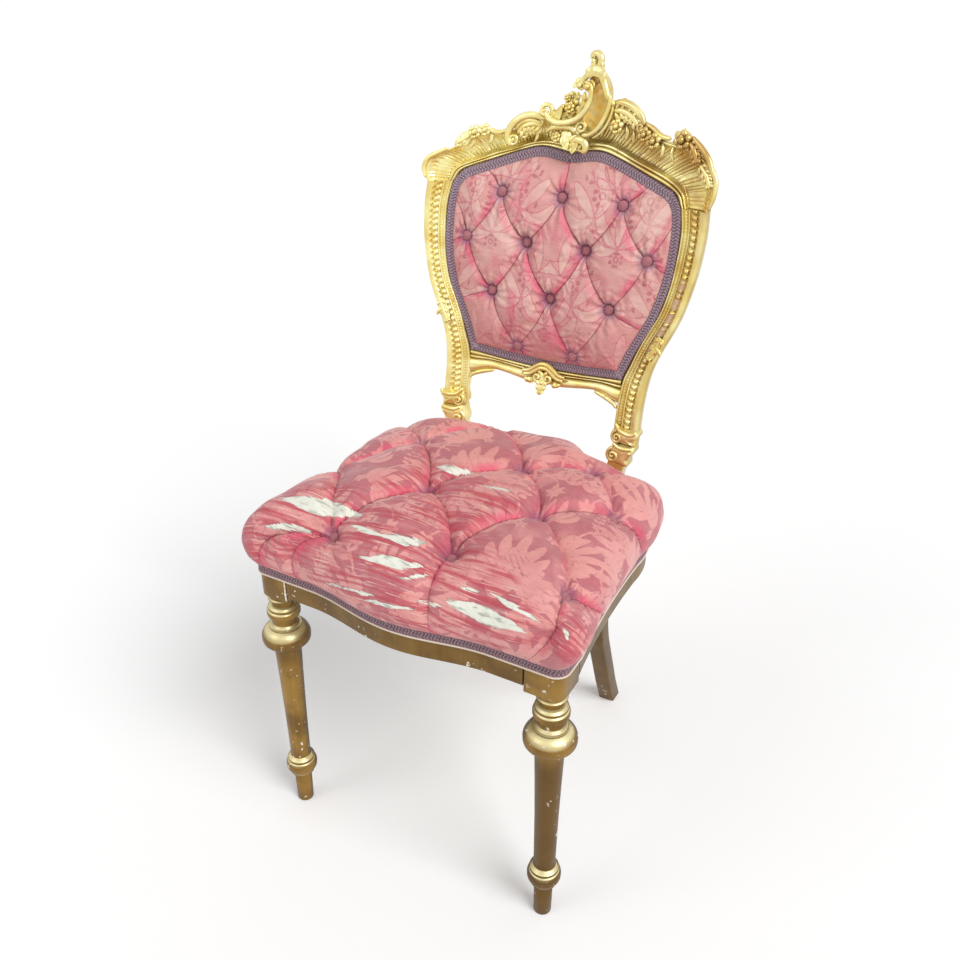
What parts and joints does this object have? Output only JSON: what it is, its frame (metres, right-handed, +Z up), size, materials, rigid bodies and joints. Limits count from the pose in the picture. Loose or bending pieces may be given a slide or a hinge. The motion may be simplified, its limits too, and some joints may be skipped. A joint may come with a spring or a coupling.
{
  "type": "parlor side chair",
  "caption": "Gilt parlor side chair: turned front legs, sabre back legs, carved arched back, deep-buttoned damask pad and sprung seat trimmed with braid.",
  "frame": {"origin": "on the floor under the middle of the chair", "axes": "+Z up; the front of the chair faces -Y; +X is on the right of someone facing the chair"},
  "size_m": [0.4328, 0.4802, 0.924],
  "materials": {
    "gilt_leaf": "worn gold leaf on gesso",
    "bronze_paint": "dull bronze-gold paint, chipped",
    "bare_beech": "bare aged beech",
    "black_steel": "dark steel",
    "jute": "coarse woven jute",
    "damask": "salmon floral damask, worn and split on the seat",
    "gimp_braid": "mauve-grey woven braid"
  },
  "bodies": {
    "root": {"back_post_left": "gilt_leaf", "back_post_right": "gilt_leaf", "crest_rail": "gilt_leaf", "crest_cartouche": "gilt_leaf", "crest_leaf_left": "gilt_leaf", "crest_leaf_right": "gilt_leaf", "lower_back_rail": "gilt_leaf", "lower_rail_drop": "gilt_leaf", "front_leg_left": "bronze_paint", "front_leg_right": "bronze_paint", "front_seat_rail": "bronze_paint", "side_seat_rail_left": "bronze_paint", "side_seat_rail_right": "bronze_paint", "rear_seat_rail": "bronze_paint", "corner_block_front_left": "bare_beech", "corner_block_front_right": "bare_beech", "corner_block_rear_left": "bare_beech", "corner_block_rear_right": "bare_beech", "rail_dowels": "bare_beech", "back_frame_dowels": "bare_beech", "corner_block_screws": "black_steel", "seat_springs": "black_steel", "seat_webbing_crosswise": "jute", "seat_webbing_lengthwise": "jute", "back_webbing_upright": "jute", "back_webbing_level": "jute", "spring_canvas": "jute", "back_canvas": "jute", "seat_first_stuffing": "jute", "seat_cushion": "damask", "seat_buttons": "damask", "back_pad": "damask", "back_buttons": "damask", "outside_back_cover": "damask", "seat_gimp": "gimp_braid", "back_gimp": "gimp_braid"}
  },
  "joints": []
}
